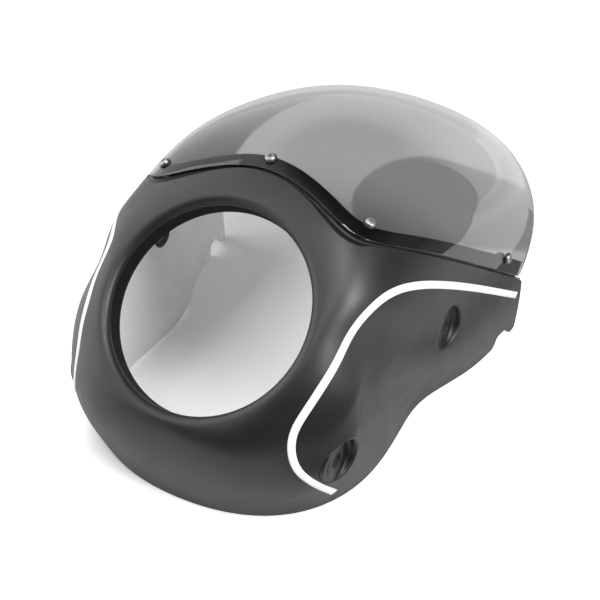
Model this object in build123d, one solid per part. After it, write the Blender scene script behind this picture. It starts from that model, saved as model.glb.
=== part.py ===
from build123d import *
import math
import os
from typing import NamedTuple

# A headlight cowl for a motorcycle: a moulded shell round a 7 inch lamp, with a smoked windscreen
# screwed to a joggled flange. It is drawn as mounted, with the lamp axis along Y, the front towards
# -Y and the origin at the lamp's centre in the plane of the front skin. At the end it is tipped
# back and set down on its lower edge. All lengths are in millimetres and all angles in degrees.

# Lamp opening
LAMP_BORE_R = 90.0
COLLAR_REAR = 25.0
COLLAR_WALL = 3.5
LIP_WIDTH = 8.0
LIP_ROUND = 2.4
LIP_RISE = 0.4
BEAD_ROUND = 1.4
BEAD_DEPTH = 4.6

# Sheet thicknesses
SHELL_WALL = 3.5
SCREEN_WALL = 3.0
STRIPE_WALL = 0.3

# Screen seat: a flange sunk under the screen, joined to the skin by a web
SEAT_GAP = 0.3
SCREEN_EDGE_GAP = 0.6
FLANGE_REACH = 15.0
WEB_WIDTH = 4.0

# Foot line of the screen in the front view: an arc round the lamp, a valley, then the cheek
FOOT_R = 127.0
FOOT_ARC_ANGLE = 33.0
FOOT_VALLEY = (101.5, 95.6)
FOOT_CHEEK = (134.0, 110.5)
FOOT_REAR = (160.0, 135.5)
FOOT_END = (180.0, 164.0)
FOOT_RUNOUT = (205.0, 203.0)

# Rear edge of the screen in the plan view
SCREEN_CROWN_DEPTH = 240.0
SCREEN_SIDE_DEPTH = 265.0
SCREEN_CROWN_HALF = 136.0

# Resting pose, and the shell's trim seen from the side in that pose
LEAN = 49.0
LAMP_HEIGHT = 166.0
CHEEK_REAR = 301.0
FLANGE_REAR_GAP = 9.0
NOTCH_START = 258.0
NOTCH_LENGTH = 31.0
NOTCH_HEIGHT = 12.5
NOTCH_RUN = 5.0
TRIM_ROUND = 4.0

# Bolt pockets on each cheek: height and depth of the hole, and how far the floor lies under the skin
POCKET_R = 20.0
POCKET_WALL = 3.5
UPPER_BOLT = (150.0, 69.5)
LOWER_BOLT = (70.0, -77.0)
UPPER_FLOOR_DROP = 5.0
LOWER_FLOOR_DROP = 5.5

# Grommet in each pocket: flush with the floor, with a flared flange behind it
BOLT_HOLE_R = 5.8
GROMMET_NECK_R = 7.0
GROMMET_FLANGE_R = 12.5
GROMMET_FLANGE = 1.6
GROMMET_FLARE_R = 9.5
GROMMET_FIT = 0.2

# Screen fasteners, placed in the front view
SCREW_RISE = 10.8
SCREW_CENTRE = (0.0, FOOT_R + SCREW_RISE)
SCREW_VALLEY = (100.0, 110.8)
SCREW_REAR = (169.5, 162.0)
SCREW_R = 2.5
SCREW_HEAD_R = 4.75
SCREW_HEAD = 2.75
SCREW_HEAD_ROUND = 2.2
SOCKET_FLATS = 3.0
SOCKET_DEPTH = 1.6
SCREW_HOLE_FIT = 0.4
WASHER_R = 5.6
WASHER = 0.9
WASHER_FIT = 0.1
SEAT_LIFT = 0.25
NUT_FLATS = 8.0
NUT = 5.0
NUT_FIT = 0.1
SCREW_TAIL = 2.0

# Border stripe on each cheek, along a smooth path in the side view
STRIPE_WIDTH = 6.8
STRIPE_LIFT = 0.25
STRIPE_PATH = [
    (279.0, 142.8),
    (185.0, 118.9),
    (104.0, 95.4),
    (61.8, 78.9),
    (28.6, 54.4),
    (18.0, 32.3),
    (14.6, 4.6),
    (11.4, -22.7),
    (12.1, -49.9),
    (18.4, -76.1),
    (39.9, -96.4),
    (63.2, -101.9),
    (106.0, -103.0),
]
STRIPE_STEPS = 48

# Reach of the cutting tools past everything that they cut, and a nudge off the middle plane
CLEAR = 420.0
SKIN_NUDGE = 0.01


class Bearing(NamedTuple):
    """How the skin leaves the lip in one direction, seen from the front."""

    angle: float
    reach: float
    depth: float
    roundness: float


# Directions are measured from the top towards one side and are mirrored to the other. The skin
# leaves the lip flat and turns back over the depth, until it runs straight back at the reach.
BEARINGS = [
    Bearing(0, 358, 520, 1.8),
    Bearing(20, 370, 560, 1.7),
    Bearing(38, 325, 635, 1.9),
    Bearing(56, 220, 570, 2.4),
    Bearing(70, 173, 270, 2.4),
    Bearing(84, 142, 82, 1.8),
    Bearing(100, 138.5, 42, 1.5),
    Bearing(120, 157, 71, 1.55),
    Bearing(145, 170, 170, 2.15),
    Bearing(180, 165, 124, 1.5),
]

# Planes across the lamp axis at which the skin is drawn, closest at the front where it turns fastest
STATION_COUNT = 16
REAR_STATION = 345.0

lip_r = LAMP_BORE_R + LIP_WIDTH
crest_r = lip_r - LIP_ROUND / 2
seat_depth = SCREEN_WALL + SEAT_GAP
flange_back = seat_depth + SHELL_WALL


def skin_radius(bearing, y):
    """Distance of the outer skin from the lamp axis in one direction, at a plane across the axis."""
    turn = max(0.0, 1.0 - y / bearing.depth)
    rise = 1.0 - turn**bearing.roundness
    return lip_r + (bearing.reach - lip_r) * rise ** (1.0 / bearing.roundness)


def skin_normal(index, y):
    """Outward normal of the skin at a bearing, as parts along the radius, round the axis and along it."""
    step = 0.02
    bearing = BEARINGS[index]
    before = BEARINGS[abs(index - 1)]
    after = BEARINGS[index + 1] if index + 1 < len(BEARINGS) else BEARINGS[index - 1]
    low = max(0.0, y - step)
    slope_back = (skin_radius(bearing, y + step) - skin_radius(bearing, low)) / (y + step - low)
    if before is after:
        slope_round = 0.0
    else:
        turned = math.radians(after.angle - before.angle)
        slope_round = (skin_radius(after, y) - skin_radius(before, y)) / turned
    slope_round /= skin_radius(bearing, y)
    size = math.sqrt(1.0 + slope_round**2 + slope_back**2)
    if y <= 0.0:
        return 0.0, 0.0, -1.0
    return 1.0 / size, -slope_round / size, -slope_back / size


def inset_point(index, y, inset):
    """Point of the skin moved in by an inset, taken where it lies in the plane at y."""
    low = 0.0
    high = REAR_STATION * 2
    for _ in range(50):
        source = (low + high) / 2
        if source - inset * skin_normal(index, source)[2] > y:
            high = source
        else:
            low = source
    bearing = BEARINGS[index]
    out, round_part, _ = skin_normal(index, source)
    angle = math.radians(bearing.angle)
    along = skin_radius(bearing, source) - inset * out
    across = -inset * round_part
    x = along * math.sin(angle) + across * math.cos(angle)
    z = along * math.cos(angle) - across * math.sin(angle)
    return Vector(max(0.0, x) if 0 < index < len(BEARINGS) - 1 else 0.0, y, z)


def skin(inset):
    """Right half of the solid inside the outer skin moved in by an inset, flat at its front and rear."""
    rings = []
    turns = [bearing.angle / BEARINGS[-1].angle for bearing in BEARINGS]
    for number in range(STATION_COUNT):
        share = (number / (STATION_COUNT - 1)) ** 2
        y = REAR_STATION * share + inset * (1.0 - share)
        points = [inset_point(index, y, inset) for index in range(len(BEARINGS))]
        ends = [Vector(math.pi * point.Z, 0, 0) for point in (points[0], points[-1])]
        curve = Edge.make_spline(points, tangents=ends, parameters=turns, scale=False)
        rings.append(Wire([curve, Edge.make_line(points[-1], points[0])]))
    return Solid.make_loft(rings)


def mirrored(right):
    """Mirror image of a right-hand shape on the left."""
    return mirror(right, about=Plane.YZ)


def above_foot(lift):
    """Everything above the screen's foot line on the right, with the line moved up by a lift."""
    turn = math.radians(FOOT_ARC_ANGLE)
    line = [(0.0, FOOT_R), (FOOT_R * math.sin(turn), FOOT_R * math.cos(turn))]
    line += [FOOT_VALLEY, FOOT_CHEEK, FOOT_REAR, FOOT_END, FOOT_RUNOUT]
    points = [Vector(x, -CLEAR / 2, z + lift) for x, z in line]
    first, last = points[0], points[-1]
    foot = Spline(*points, tangents=[(1, 0, 0), last - points[-2]])
    corners = [(last.X, first.Y, CLEAR), (-CLEAR / 4, first.Y, CLEAR), (-CLEAR / 4, first.Y, first.Z)]
    return extrude(make_face(foot + Polyline(last, *corners, first)), CLEAR * 2, dir=(0, 1, 0))


def screen_rear_cut():
    """Everything behind the screen's rear edge on the right, drawn in the plan view."""
    crown = Vector(0, SCREEN_CROWN_DEPTH, -CLEAR)
    side = Vector(SCREEN_CROWN_HALF, SCREEN_SIDE_DEPTH, -CLEAR)
    edge = Spline(crown, side, tangents=[(1, 0, 0), (1, 0, 0)])
    corners = [(CLEAR, side.Y), (CLEAR, CLEAR), (-CLEAR / 4, CLEAR), (-CLEAR / 4, crown.Y)]
    around = Polyline(side, *[(x, y, -CLEAR) for x, y in corners], crown)
    return extrude(make_face(edge + around), CLEAR * 2, dir=(0, 0, 1))


def at_rest(shape):
    """Tip a shape back from its mounted pose and stand it at its height above the floor."""
    return Pos(0, 0, LAMP_HEIGHT) * Rot(-LEAN, 0, 0) * shape


def side_trim():
    """What the shell keeps in its resting pose: above the floor and its notches, ahead of the rear."""
    notch_end = NOTCH_START + NOTCH_LENGTH
    outline = [
        (-CLEAR, 0),
        (NOTCH_START, 0),
        (NOTCH_START + NOTCH_RUN, NOTCH_HEIGHT),
        (notch_end - NOTCH_RUN, NOTCH_HEIGHT),
        (notch_end, 0),
        (CHEEK_REAR, 0),
        (CHEEK_REAR, CLEAR),
        (-CLEAR, CLEAR),
    ]
    path = FilletPolyline(*[(-CLEAR, y, z) for y, z in outline], radius=TRIM_ROUND, close=True)
    return extrude(make_face(path), CLEAR * 2, dir=(1, 0, 0))


def lamp_ring():
    """Right half of the rolled lip, the inner bead and the collar, turned about the lamp axis."""
    crest = Pos(crest_r, LIP_ROUND - LIP_RISE) * Circle(LIP_ROUND)
    bead = Pos(LAMP_BORE_R + BEAD_ROUND, BEAD_DEPTH) * Circle(BEAD_ROUND)
    length = COLLAR_REAR - BEAD_DEPTH
    collar = Pos(LAMP_BORE_R, BEAD_DEPTH) * Rectangle(COLLAR_WALL, length, align=Align.MIN)
    land = Pos(LAMP_BORE_R, BEAD_DEPTH) * Rectangle(LIP_WIDTH, SHELL_WALL, align=Align.MIN)
    land += Pos(crest_r, LIP_ROUND) * Rectangle(lip_r - crest_r, BEAD_DEPTH, align=Align.MIN)
    section = Plane((0, 0, 0), x_dir=(0, 0, 1), z_dir=(-1, 0, 0)) * (crest + bead + collar + land)
    return revolve(section, Axis.Y, revolution_arc=180)


def first_hit(solid, start, heading):
    """First point where a line from outside meets a solid's skin, and the outward normal there."""
    side = solid.faces().sort_by(SortBy.AREA)[-1]
    point, normal = side.find_intersection_points(Axis(start, heading))[0]
    return point, normal if normal.dot(Vector(heading)) < 0 else -normal


def along_x(radius, low, high, y, z):
    """Cylinder along X between two distances from the middle plane."""
    body = Cylinder(radius, high - low, align=(Align.CENTER, Align.CENTER, Align.MIN))
    return Pos(low, y, z) * Rot(0, 90, 0) * body


class Pocket:
    """A sunk bolt seat on the right cheek, with its floor square to X."""

    def __init__(self, outer, bolt, drop):
        self.y, self.z = bolt
        point, _ = first_hit(outer, (CLEAR, self.y, self.z), (-1, 0, 0))
        self.floor = point.X - drop
        self.back = self.floor - POCKET_WALL
        self.outer = outer

    def cup(self):
        """Wall and floor of the pocket, before it is hollowed."""
        return along_x(POCKET_R + POCKET_WALL, self.back, CLEAR, self.y, self.z) & self.outer

    def hollow(self):
        """Room of the pocket, out through the skin."""
        return along_x(POCKET_R, self.floor, CLEAR, self.y, self.z)

    def hole(self):
        """Hole for the grommet's neck."""
        return along_x(GROMMET_NECK_R + GROMMET_FIT, 0, CLEAR, self.y, self.z)

    def spot_face(self):
        """Flat seat behind the floor for the grommet's rear lap."""
        return along_x(GROMMET_FLANGE_R + GROMMET_FIT, 0, self.back, self.y, self.z)

    def grommet(self):
        """Rubber ring that lines the hole and laps the floor from behind, where it flares."""
        end = self.back - GROMMET_FLANGE
        neck = along_x(GROMMET_NECK_R, self.back, self.floor, self.y, self.z)
        rear = along_x(GROMMET_FLANGE_R, end, self.back, self.y, self.z)
        low_end = (Align.CENTER, Align.CENTER, Align.MIN)
        flare = Cone(GROMMET_FLARE_R, BOLT_HOLE_R, GROMMET_FLANGE, align=low_end)
        flare = Pos(end, self.y, self.z) * Rot(0, 90, 0) * flare
        return neck + rear - along_x(BOLT_HOLE_R, 0, CLEAR, self.y, self.z) - flare


def screw():
    """Button-head screw with a hex socket; its seat is the plane Z = 0 and its shank points down."""
    head = Cylinder(SCREW_HEAD_R, SCREW_HEAD, align=(Align.CENTER, Align.CENTER, Align.MIN))
    head = fillet(head.edges().sort_by(Axis.Z)[-1], SCREW_HEAD_ROUND)
    socket = extrude(RegularPolygon(SOCKET_FLATS / 2, 6, major_radius=False), SOCKET_DEPTH)
    grip = WASHER + SEAT_LIFT + flange_back + SEAT_LIFT + NUT + SCREW_TAIL
    shank = Cylinder(SCREW_R, grip, align=(Align.CENTER, Align.CENTER, Align.MAX))
    return head + shank - Pos(0, 0, SCREW_HEAD - SOCKET_DEPTH) * socket


def washer():
    """Flat washer standing on the plane Z = 0."""
    disc = Cylinder(WASHER_R, WASHER, align=(Align.CENTER, Align.CENTER, Align.MIN))
    return disc - Cylinder(SCREW_R + WASHER_FIT, WASHER * 3)


def nut():
    """Hex nut hanging below the plane Z = 0."""
    body = extrude(RegularPolygon(NUT_FLATS / 2, 6, major_radius=False), -NUT)
    return body - Cylinder(SCREW_R + NUT_FIT, NUT * 3)


def stripe_band(outer):
    """Border stripe seen from the side, as wide along the skin everywhere, pushed across the right cheek."""
    start = Vector(*STRIPE_PATH[1]) - Vector(*STRIPE_PATH[0])
    end = Vector(*STRIPE_PATH[-1]) - Vector(*STRIPE_PATH[-2])
    path = Spline(*STRIPE_PATH, tangents=[start, end])
    upper = []
    lower = []
    for number in range(STRIPE_STEPS + 1):
        place = path @ (number / STRIPE_STEPS)
        heading = path % (number / STRIPE_STEPS)
        across = Vector(-heading.Y, heading.X)
        _, normal = first_hit(outer, (CLEAR, place.X, place.Y), (-1, 0, 0))
        slope = (normal.Y * across.X + normal.Z * across.Y) / normal.X
        half = across * (STRIPE_WIDTH / 2 / math.hypot(1.0, slope))
        upper.append(place + half)
        lower.append(place - half)
    edges = [Spline(*upper), Spline(*lower)]
    ends = [Line(upper[0], lower[0]), Line(upper[-1], lower[-1])]
    return extrude(Plane.YZ.offset(LAMP_BORE_R) * make_face(edges + ends), CLEAR)


def screw_seats(outer):
    """Planes on the outer skin at the screws, each facing out along the skin's normal."""
    seats = []
    for x, z in (SCREW_CENTRE, SCREW_VALLEY, SCREW_REAR):
        point, normal = first_hit(outer, (max(x, SKIN_NUDGE), -CLEAR, z), (0, 1, 0))
        if x == 0.0:
            seats.append(Plane(origin=(0, point.Y, z), z_dir=(0, normal.Y, normal.Z)))
            continue
        for side in (1, -1):
            origin = (side * x, point.Y, z)
            seats.append(Plane(origin=origin, z_dir=(side * normal.X, normal.Y, normal.Z)))
    return seats


# Right halves of the skins that the pieces share, and the screws' places
outer = skin(0.0)
seat_back = skin(flange_back)
foot_edge = above_foot(-SCREEN_EDGE_GAP)
web_edge = above_foot(-SCREEN_EDGE_GAP - WEB_WIDTH)
seats = screw_seats(outer)
screw_holes = [seat * Cylinder(SCREW_R + SCREW_HOLE_FIT, flange_back * 4) for seat in seats]

# Screen
screen = (outer - skin(SCREEN_WALL)) & above_foot(0.0)
screen -= screen_rear_cut()
screen = screen + mirrored(screen) - screw_holes

# Shell: the skin below the foot line, the web and the flange under the screen, and the lamp ring
shell = (outer - skin(SHELL_WALL)) - foot_edge
shell += (outer - seat_back) & (web_edge - foot_edge)
shell -= Cylinder(crest_r, CLEAR, rotation=(90, 0, 0))
shell += lamp_ring()
flange = (skin(seat_depth) - seat_back) & (web_edge - above_foot(FLANGE_REACH))

# Bolt pockets
pockets = [Pocket(outer, UPPER_BOLT, UPPER_FLOOR_DROP), Pocket(outer, LOWER_BOLT, LOWER_FLOOR_DROP)]
for pocket in pockets:
    shell += pocket.cup()
for pocket in pockets:
    shell -= [pocket.hollow(), pocket.hole(), pocket.spot_face()]

# Resting pose
shell = at_rest(shell) & side_trim()
behind = Box(CLEAR * 2, CLEAR, CLEAR * 2, align=(Align.CENTER, Align.MIN, Align.CENTER))
shell += at_rest(flange) - Pos(0, CHEEK_REAR - FLANGE_REAR_GAP, 0) * behind
shell = shell + mirrored(shell) - [at_rest(hole) for hole in screw_holes]
stripe = at_rest((skin(-STRIPE_LIFT - STRIPE_WALL) - skin(-STRIPE_LIFT)) & stripe_band(outer))
screw_lift = WASHER + SEAT_LIFT
nut_drop = flange_back + SEAT_LIFT
pieces = {
    "cowl_shell": [shell],
    "windscreen": [at_rest(screen)],
    "screen_screws": [at_rest(seat * Pos(0, 0, screw_lift) * screw()) for seat in seats],
    "screen_washers": [at_rest(seat * Pos(0, 0, SEAT_LIFT) * washer()) for seat in seats],
    "screen_nuts": [at_rest(seat * Pos(0, 0, -nut_drop) * nut()) for seat in seats],
    "side_stripe_right": [stripe],
    "side_stripe_left": [mirrored(stripe)],
}
for pocket, level in zip(pockets, ("upper", "lower")):
    grommet = at_rest(pocket.grommet())
    pieces[f"mount_grommet_{level}_right"] = [grommet]
    pieces[f"mount_grommet_{level}_left"] = [mirrored(grommet)]

# The origin is on the floor, under the middle of the whole object
whole = shell.bounding_box().add(pieces["windscreen"][0].bounding_box())
centred = Pos(0, -whole.center().Y, 0)
os.makedirs("parts", exist_ok=True)
for name, bodies in pieces.items():
    solids = [centred * solid for body in bodies for solid in body.solids()]
    export_step(solids[0] if len(solids) == 1 else Compound(children=solids), f"parts/{name}.step")
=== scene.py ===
"""Looks of a motorcycle headlight cowl with a smoked windscreen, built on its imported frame.

Shapes are worked out as mounted, in millimetres: the lamp axis runs along Y, the front faces -Y and
the origin is the lamp's centre. A pose then tips them back on their lower edge, in metres.
"""

import logging
import math
from collections.abc import Callable, Sequence
from dataclasses import dataclass
from enum import Enum, IntEnum

import bmesh
import bpy
import numpy as np
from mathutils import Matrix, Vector


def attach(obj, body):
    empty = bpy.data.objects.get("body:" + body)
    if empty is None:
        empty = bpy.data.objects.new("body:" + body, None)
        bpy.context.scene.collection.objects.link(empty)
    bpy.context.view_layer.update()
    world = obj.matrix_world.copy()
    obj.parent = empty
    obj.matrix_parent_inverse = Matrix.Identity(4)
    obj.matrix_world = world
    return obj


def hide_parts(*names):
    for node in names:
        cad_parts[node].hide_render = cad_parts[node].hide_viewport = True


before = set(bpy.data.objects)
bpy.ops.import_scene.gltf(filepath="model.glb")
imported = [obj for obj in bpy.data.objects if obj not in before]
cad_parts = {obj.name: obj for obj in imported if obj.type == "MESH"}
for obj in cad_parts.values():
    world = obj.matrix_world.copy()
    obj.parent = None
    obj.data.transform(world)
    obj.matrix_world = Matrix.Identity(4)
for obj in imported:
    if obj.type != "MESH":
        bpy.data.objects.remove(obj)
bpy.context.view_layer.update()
LOG = logging.getLogger("cowl")
Array = np.ndarray
Socket = bpy.types.NodeSocket
Colour = tuple[float, float, float]
LINE_SAMPLES = 420


class ClampedSpline:
    """Cubic curve through values at fixed knots, with given slopes at both ends."""

    def __init__(self, knots: Sequence[float]) -> None:
        """Prepare the slopes that the knots' spacing asks for.

        Args:
            knots: Rising places along the curve.
        """
        self.knots = np.asarray(knots, float)
        gaps = np.diff(self.knots)
        count = len(self.knots)
        left = np.eye(count)
        right = np.zeros((count, count))
        for i in range(1, count - 1):
            a, b = 1.0 / gaps[i - 1], 1.0 / gaps[i]
            left[i, i - 1 : i + 2] = a, 2.0 * (a + b), b
            right[i, i - 1 : i + 2] = -3.0 * a * a, 3.0 * (a * a - b * b), 3.0 * b * b
        inverse = np.linalg.inv(left)
        self.slopes = inverse @ right
        self.first = inverse[:, 0]
        self.last = inverse[:, -1]

    def at(self, where: Array, values: Array, start: Array, end: Array) -> Array:
        """Read the curve.

        Args:
            where: Places to read, one per row of values.
            values: Knot values, one row per place.
            start: Slope at the first knot, per row.
            end: Slope at the last knot, per row.

        Returns:
            The curve's value at each place.
        """
        slope = values @ self.slopes.T + np.outer(start, self.first) + np.outer(end, self.last)
        i = np.clip(np.searchsorted(self.knots, where, side="right") - 1, 0, len(self.knots) - 2)
        gap = self.knots[i + 1] - self.knots[i]
        s = (where - self.knots[i]) / gap
        row = np.arange(len(where))
        low, high = values[row, i], values[row, i + 1]
        rise, fall = slope[row, i] * gap, slope[row, i + 1] * gap
        rest = 1.0 - s
        return (
            low * (1.0 + 2.0 * s) * rest**2
            + rise * s * rest**2
            + high * s**2 * (3.0 - 2.0 * s)
            - fall * s**2 * rest
        )


def unit(vector: Array) -> Array:
    """Vector of length one in the same direction."""
    return vector / np.hypot(*vector)


def ease(share: Array | float) -> Array | float:
    """Soft rise from 0 to 1."""
    return share**2 * (3.0 - 2.0 * share)


def chord_curve(stops: Array, count: int, start: Array, end: Array) -> Array:
    """Smooth curve through points, paced by the chords between them.

    Args:
        stops: Rows of two that the curve goes through.
        count: How many points to give, evenly spaced.
        start: Direction at the first stop.
        end: Direction at the last stop.

    Returns:
        Rows of two along the curve.
    """
    chords = np.hypot(*np.diff(stops, axis=0).T)
    spline = ClampedSpline(np.concatenate([[0.0], np.cumsum(chords)]))
    where = np.linspace(0.0, spline.knots[-1], count)
    ones = np.ones(count)
    columns = [
        spline.at(where, np.tile(stops[:, i], (count, 1)), ones * start[i], ones * end[i]) for i in (0, 1)
    ]
    return np.stack(columns, -1)


def cut_line(line: Array, along: Array, limit: float, count: int) -> Array:
    """Keep a line up to where a measure passes a limit.

    Args:
        line: Rows of two.
        along: Measure that rises along the line, one value per row.
        limit: Value at which the line ends.
        count: How many points to give, evenly spread over the rows.

    Returns:
        Rows of two.
    """
    last = int(np.argmax(along > limit))
    share = (limit - along[last - 1]) / (along[last] - along[last - 1])
    where = np.linspace(0.0, 1.0, count) * (last - 1 + share)
    return np.stack([np.interp(where, np.arange(len(line)), line[:, i]) for i in (0, 1)], -1)


@dataclass(frozen=True)
class Bearing:
    """How the skin leaves the lip in one direction, seen from the front."""

    angle: float
    reach: float
    depth: float
    roundness: float


@dataclass
class Skin:
    """Outer skin of the cowl and its screen: right half, as mounted, in millimetres."""

    lip_r: float = 98.0
    rear: float = 345.0
    bearings: tuple[Bearing, ...] = (
        Bearing(0, 358, 520, 1.8),
        Bearing(20, 370, 560, 1.7),
        Bearing(38, 325, 635, 1.9),
        Bearing(56, 220, 570, 2.4),
        Bearing(70, 173, 270, 2.4),
        Bearing(84, 142, 82, 1.8),
        Bearing(100, 138.5, 42, 1.5),
        Bearing(120, 157, 71, 1.55),
        Bearing(145, 170, 170, 2.15),
        Bearing(180, 165, 124, 1.5),
    )

    def __post_init__(self) -> None:
        """Lay the bearings out as rows of numbers."""
        angles = np.radians([b.angle for b in self.bearings])
        self.sines = np.sin(angles)
        self.cosines = np.cos(angles)
        self.reaches = np.array([b.reach for b in self.bearings], float)
        self.depths = np.array([b.depth for b in self.bearings], float)
        self.rounds = np.array([b.roundness for b in self.bearings], float)
        self.spline = ClampedSpline(angles / math.pi)

    def at(self, turn: Array, back: Array) -> Array:
        """Points of the skin.

        Args:
            turn: Way round the lamp axis, 0 at the top and 1 at the bottom.
            back: Square root of the share of the depth, 0 at the lip.

        Returns:
            Points as mounted, with a last axis of three.
        """
        turn, back = np.broadcast_arrays(np.asarray(turn, float), np.asarray(back, float))
        y = self.rear * back.ravel() ** 2
        fall = np.clip(1.0 - y[:, None] / self.depths, 0.0, None)
        rise = (1.0 - fall**self.rounds) ** (1.0 / self.rounds)
        radius = self.lip_r + (self.reaches - self.lip_r) * rise
        x, z = radius * self.sines, radius * self.cosines
        flat = np.zeros(len(y))
        px = self.spline.at(turn.ravel(), x, math.pi * z[:, 0], math.pi * z[:, -1])
        pz = self.spline.at(turn.ravel(), z, flat, flat)
        return np.stack([px, y, pz], -1).reshape(*turn.shape, 3)

    def normal(self, turn: Array, back: Array) -> Array:
        """Outward unit normals at places on the skin.

        Args:
            turn: Way round the lamp axis.
            back: Square root of the share of the depth.

        Returns:
            Unit vectors, with a last axis of three.
        """
        step = 1e-4
        turn, back = np.broadcast_arrays(np.asarray(turn, float), np.asarray(back, float))
        across = self.at(turn + step, back) - self.at(turn - step, back)
        along = self.at(turn, back + step) - self.at(turn, np.maximum(back - step, 0.0))
        normal = np.cross(across, along)
        return normal / np.linalg.norm(normal, axis=-1, keepdims=True)

    def under(self, turn: Array, back: Array, depth: Array | float) -> Array:
        """Points at a depth under the skin, or above it where the depth is negative."""
        return self.at(turn, back) - np.asarray(depth)[..., None] * self.normal(turn, back)

    def find(
        self, goal: Callable[[Array], Array], target: Array, turn: Array, back: Array
    ) -> tuple[Array, Array]:
        """Find the places on the skin where two measures reach a target.

        Args:
            goal: Gives two measures for each point.
            target: The two values wanted, one row per place.
            turn: First guess of the way round.
            back: First guess of the way back.

        Returns:
            The places' turn and back.
        """
        count = len(target)
        turn = np.broadcast_to(np.asarray(turn, float), count).copy()
        back = np.broadcast_to(np.asarray(back, float), count).copy()
        step = 1e-5
        for _ in range(60):
            here = goal(self.at(turn, back))
            miss = here - target
            by_turn = (goal(self.at(turn + step, back)) - here) / step
            by_back = (goal(self.at(turn, back + step)) - here) / step
            det = by_turn[:, 0] * by_back[:, 1] - by_turn[:, 1] * by_back[:, 0]
            det = np.where(np.abs(det) < 1e-9, 1e-9, det)
            move_turn = (miss[:, 0] * by_back[:, 1] - miss[:, 1] * by_back[:, 0]) / det
            move_back = (by_turn[:, 0] * miss[:, 1] - by_turn[:, 1] * miss[:, 0]) / det
            turn -= np.clip(move_turn, -0.02, 0.02)
            back = np.clip(back - np.clip(move_back, -0.05, 0.05), 0.01, 1.08)
        return turn, back

    def reach_back(self, measure: Callable[[Array], Array], turn: Array, low: float = 0.02) -> Array:
        """Go back along fixed turns until a measure falls to zero.

        Args:
            measure: Falls along each turn.
            turn: The ways round.
            low: Where the search starts.

        Returns:
            The way back at each turn.
        """
        near = np.full(len(turn), low)
        far = np.full(len(turn), 1.08)
        for _ in range(50):
            middle = (near + far) / 2.0
            above = measure(self.at(turn, middle)) > 0.0
            near = np.where(above, middle, near)
            far = np.where(above, far, middle)
        return (near + far) / 2.0

    def from_front(self, seen: Array) -> tuple[Array, Array]:
        """Places on the skin that the front view shows.

        Args:
            seen: Rows of X and Z.

        Returns:
            The places' turn and back.
        """
        size = np.hypot(seen[:, 0], seen[:, 1])
        turn = np.arctan2(seen[:, 0], seen[:, 1]) / math.pi
        back = self.reach_back(lambda p: size - np.hypot(p[:, 0], p[:, 2]), turn)
        return self.find(lambda p: p[:, [0, 2]], seen, turn, back)

    def from_side(self, seen: Array) -> tuple[Array, Array]:
        """Places on the right cheek that the side view shows.

        Args:
            seen: Rows of Y and Z.

        Returns:
            The places' turn and back.
        """
        back = np.sqrt(np.maximum(seen[:, 0], 0.5) / self.rear)
        low = np.full(len(seen), 0.2)
        high = np.full(len(seen), 0.9)
        for _ in range(45):
            middle = (low + high) / 2.0
            above = self.at(middle, back)[:, 2] > seen[:, 1]
            low = np.where(above, middle, low)
            high = np.where(above, high, middle)
        return (low + high) / 2.0, back

    def edge_frame(
        self, turn: Array, back: Array, in_turn: Array, in_back: Array
    ) -> tuple[Array, Array, Array]:
        """Points along an edge of a sheet that lies on the skin, with their directions.

        Args:
            turn: Edge's way round.
            back: Edge's way back.
            in_turn: Way round of places a little inside the edge.
            in_back: Way back of those places.

        Returns:
            The points, the outward normals, and unit vectors that leave the sheet over its edge.
        """
        points, normal = self.at(turn, back), self.normal(turn, back)
        outward = np.cross(normal, np.gradient(points, axis=0))
        outward /= np.linalg.norm(outward, axis=1, keepdims=True)
        inside = self.at(in_turn, in_back)
        outward *= np.sign(np.sum(outward * (points - inside), axis=1))[:, None]
        return points, normal, outward


@dataclass(frozen=True)
class Pose:
    """How the mounted cowl is tipped back and set down, from millimetres to metres."""

    lean: float = 49.0
    height: float = 166.0
    shift: float = 157.471
    rear: float = 301.0

    def side(self, points: Array) -> Array:
        """Side view of points, in millimetres, before the shift.

        Args:
            points: Points as mounted.

        Returns:
            Distance back and height over the floor, with a last axis of two.
        """
        c, s = math.cos(math.radians(self.lean)), math.sin(math.radians(self.lean))
        along = points[..., 1] * c + points[..., 2] * s
        return np.stack([along, points[..., 2] * c - points[..., 1] * s + self.height], -1)

    def row(self, points: Array) -> Array:
        """Set points down on the floor.

        Args:
            points: Points as mounted, in millimetres.

        Returns:
            The points in the row's frame, in metres.
        """
        seen = self.side(points)
        out = np.stack([points[..., 0], seen[..., 0] - self.shift, seen[..., 1]], -1)
        return out / 1000.0


@dataclass(frozen=True)
class FootLine:
    """Foot of the screen in the front view: an arc over the lamp, a valley, then the cheek."""

    arc_r: float = 127.0
    arc_angle: float = 33.0
    stops: tuple[tuple[float, float], ...] = (
        (101.5, 95.6),
        (134.0, 110.5),
        (160.0, 135.5),
        (180.0, 164.0),
        (205.0, 203.0),
    )

    def trace(self, count: int, lift: float) -> Array:
        """Points along the line.

        Args:
            count: How many points, evenly spaced.
            lift: How far the line is moved up.

        Returns:
            Rows of X and Z.
        """
        turn = math.radians(self.arc_angle)
        start = [(0.0, self.arc_r), (self.arc_r * math.sin(turn), self.arc_r * math.cos(turn))]
        stops = np.array(start + list(self.stops))
        line = chord_curve(stops, count, np.array([1.0, 0.0]), unit(stops[-1] - stops[-2]))
        return line + np.array([0.0, lift])


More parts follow.
